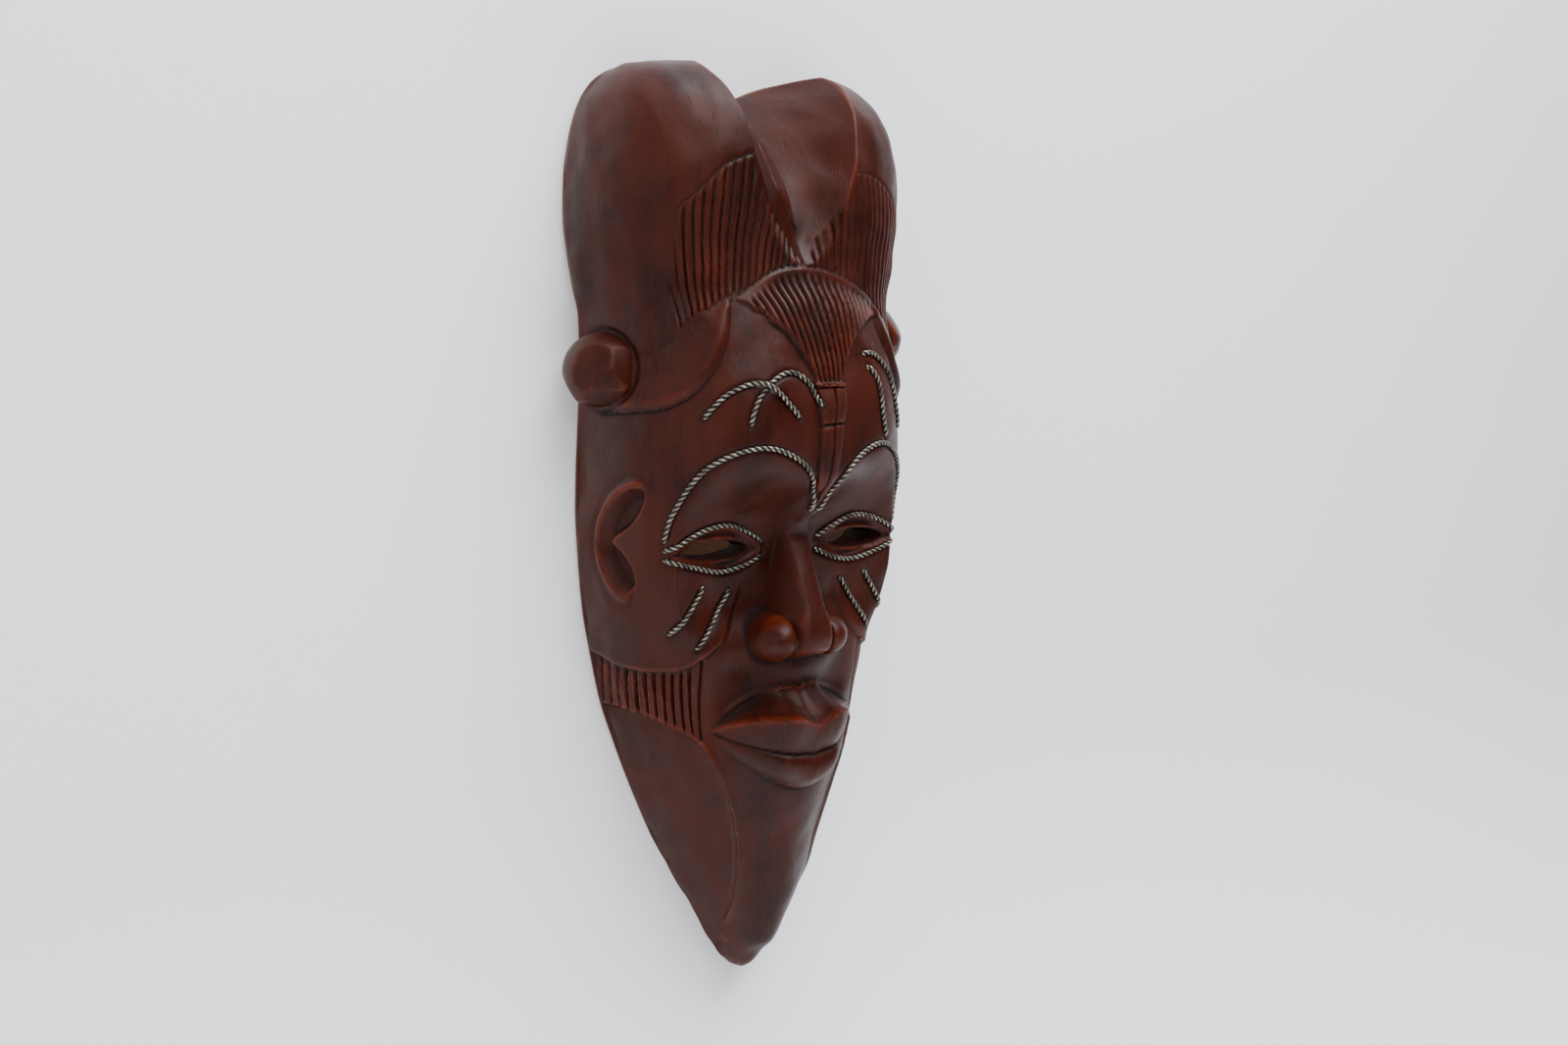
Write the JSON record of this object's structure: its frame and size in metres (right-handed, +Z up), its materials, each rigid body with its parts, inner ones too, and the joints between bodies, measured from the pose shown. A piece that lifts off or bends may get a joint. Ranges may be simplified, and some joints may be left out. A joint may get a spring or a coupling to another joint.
{
  "type": "carved wooden wall mask",
  "caption": "Carved wooden wall mask: long face with slit eyes, full lips and a two-lobed headdress, inlaid with twisted wire, hollow behind, hung by a D-ring.",
  "frame": {"origin": "a point on the flat back of the headdress, on the centreline, 335 mm above the chin tip", "axes": "+Z up the mask from chin to headdress, +Y out of the flat back into the wall, so the face looks along -Y, and +X to the viewer's right"},
  "size_m": [0.1746, 0.0869, 0.403],
  "materials": {
    "stained_wood": "dark red-brown stain under satin wax, near black in the cuts and orange-red where handling has worn the edges",
    "twisted_wire": "two-strand twisted wire, dull silver on the crests and dark in the lay",
    "hanger_brass": "thin brass plating, slightly tarnished",
    "screw_steel": "zinc-plated steel"
  },
  "bodies": {
    "mask": {"carved_body": "stained_wood", "brow_wire_left": "twisted_wire", "brow_wire_right": "twisted_wire", "eye_wire_upper_left": "twisted_wire", "eye_wire_upper_right": "twisted_wire", "eye_wire_lower_left": "twisted_wire", "eye_wire_lower_right": "twisted_wire", "cheek_wire_inner_left": "twisted_wire", "cheek_wire_inner_right": "twisted_wire", "cheek_wire_outer_left": "twisted_wire", "cheek_wire_outer_right": "twisted_wire", "forehead_wire_outer_left": "twisted_wire", "forehead_wire_outer_right": "twisted_wire", "forehead_wire_inner_left": "twisted_wire", "forehead_wire_inner_right": "twisted_wire", "hanger_strap": "hanger_brass", "hanger_screw_1": "screw_steel", "hanger_screw_2": "screw_steel"},
    "ring": {"hanging_ring": "hanger_brass"}
  },
  "joints": [
    {"name": "ring_swing", "type": "hinge", "parent": "mask", "child": "ring", "pos_m": [0, -0.003, -0.034], "axis": [1, 0, 0], "range_deg": [0, 180]}
  ]
}
